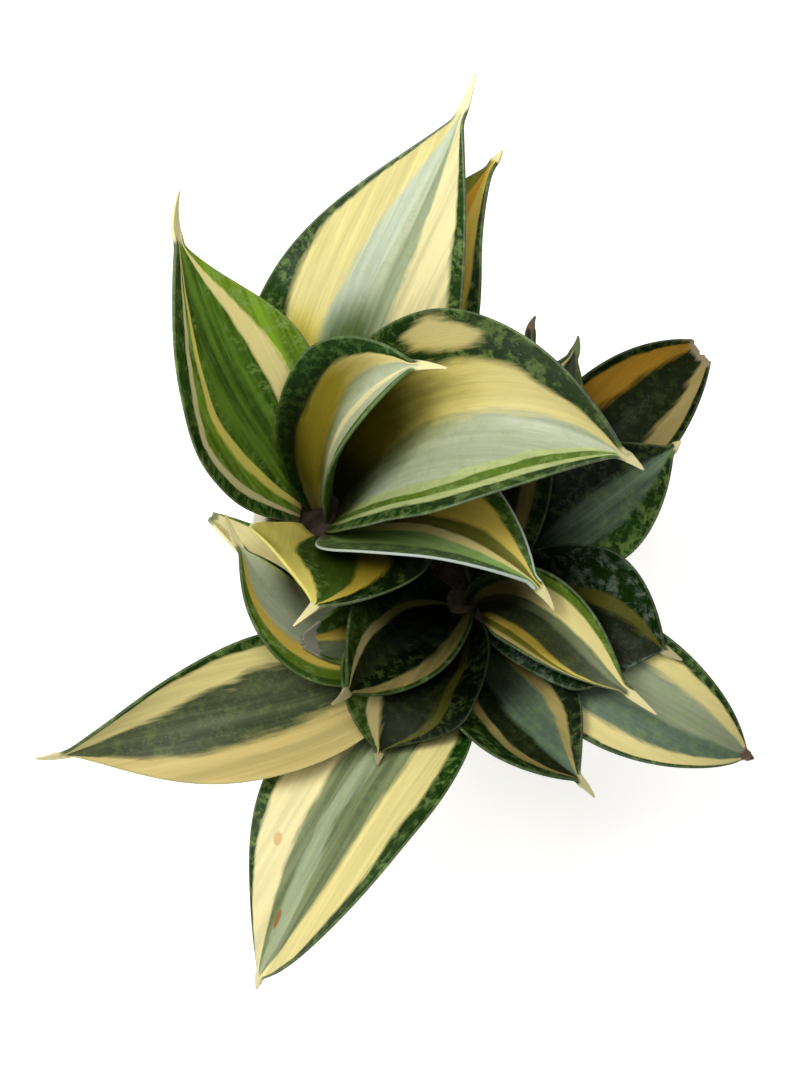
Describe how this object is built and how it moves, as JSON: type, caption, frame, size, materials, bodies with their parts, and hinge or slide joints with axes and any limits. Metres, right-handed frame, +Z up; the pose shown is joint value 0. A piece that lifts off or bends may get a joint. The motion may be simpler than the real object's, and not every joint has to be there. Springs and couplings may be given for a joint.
{
  "type": "potted snake plant",
  "caption": "Dwarf birds nest snake plant with short, broad, yellow-banded leaves in clustered rosettes, standing in a plain round white ceramic pot",
  "frame": {"origin": "on the surface the pot stands on, at the centre of the pot's flat base", "axes": "+Z up along the pot's axis, the tallest leaf stands towards +Y, the long low leaves point to -X and -Y"},
  "size_m": [0.2229, 0.2481, 0.1976],
  "materials": {
    "pot": "satin white glaze",
    "soil": "rough potting mix",
    "stem": "fibrous",
    "leaf": "waxy satin"
  },
  "bodies": {
    "root": {"pot": "pot", "soil": "soil", "crown_main": "stem", "crown_pup": "stem", "crown_right": "stem", "leaf_hood": "leaf", "leaf_left": "leaf", "leaf_sail": "leaf", "leaf_back": "leaf", "leaf_strip": "leaf", "leaf_fold": "leaf", "leaf_front": "leaf", "leaf_blunt": "leaf", "leaf_pup_left": "leaf", "leaf_pup_dry": "leaf", "leaf_dusk": "leaf", "leaf_under": "leaf", "leaf_cup": "leaf", "leaf_side": "leaf", "leaf_peek_brown": "leaf", "leaf_grey": "leaf", "leaf_peek_green": "leaf", "leaf_low": "leaf", "leaf_cut": "leaf", "leaf_brown": "leaf", "leaf_long_left": "leaf", "leaf_long_down": "leaf"}
  },
  "joints": []
}
